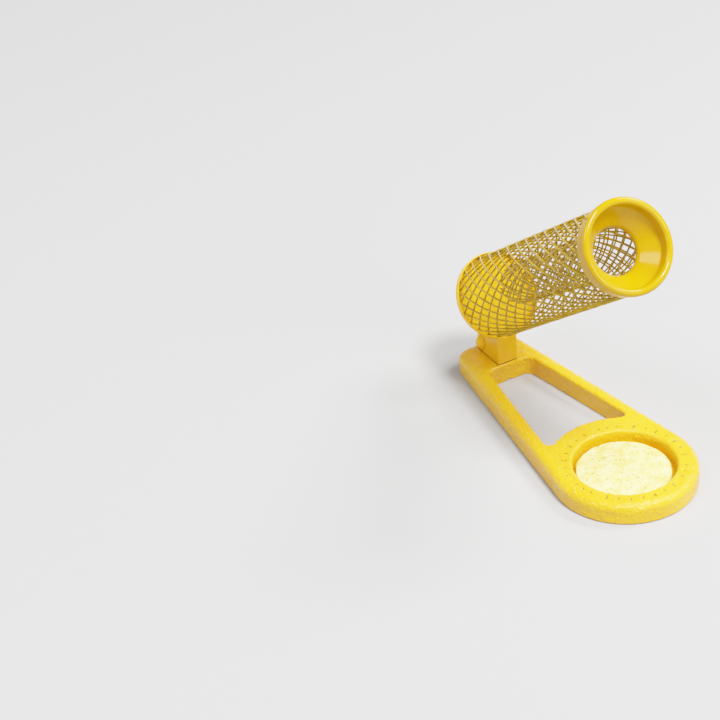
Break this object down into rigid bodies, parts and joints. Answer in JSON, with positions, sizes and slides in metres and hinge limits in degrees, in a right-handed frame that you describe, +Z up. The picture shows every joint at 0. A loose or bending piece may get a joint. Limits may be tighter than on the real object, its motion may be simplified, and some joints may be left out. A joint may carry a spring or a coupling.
{
  "type": "soldering iron stand",
  "caption": "Bench stand that holds a hot soldering iron in a tilted mesh tube with a funnel mouth, over a heavy cast base with a round sponge well.",
  "frame": {"origin": "middle of the base's length and width, on the rest face", "axes": "+Z up from the rest face, -Y towards the rounded sponge end that faces the user, +X to the right seen from that end"},
  "size_m": [0.074, 0.17, 0.1567],
  "materials": {
    "cast_enamel": "textured gloss enamel over rough casting",
    "smooth_enamel": "smooth gloss enamel",
    "mesh_enamel": "satin enamel",
    "collar_enamel": "high gloss enamel",
    "zinc_steel": "zinc plated",
    "cellulose": "dry cellulose sponge"
  },
  "bodies": {
    "base": {"base_casting": "cast_enamel", "clevis_post": "smooth_enamel", "post_screw": "zinc_steel", "post_pin": "zinc_steel", "pivot_bolt": "smooth_enamel", "pivot_washer": "smooth_enamel", "pivot_nut": "smooth_enamel"},
    "tube": {"pivot_lug": "smooth_enamel", "end_cap": "smooth_enamel", "mesh_sleeve": "mesh_enamel", "inner_sleeve": "mesh_enamel", "funnel_collar": "collar_enamel", "collar_rivets": "collar_enamel"},
    "sponge_pad": {"sponge": "cellulose"}
  },
  "joints": [
    {"name": "tube_tilt", "type": "hinge", "parent": "base", "child": "tube", "pos_m": [0, 0.076, 0.017], "axis": [-1, 0, 0], "range_deg": [0, 30]},
    {"name": "sponge_lift", "type": "slide", "parent": "base", "child": "sponge_pad", "axis": [0, 0, 1], "range_m": [0, 0.02]}
  ]
}
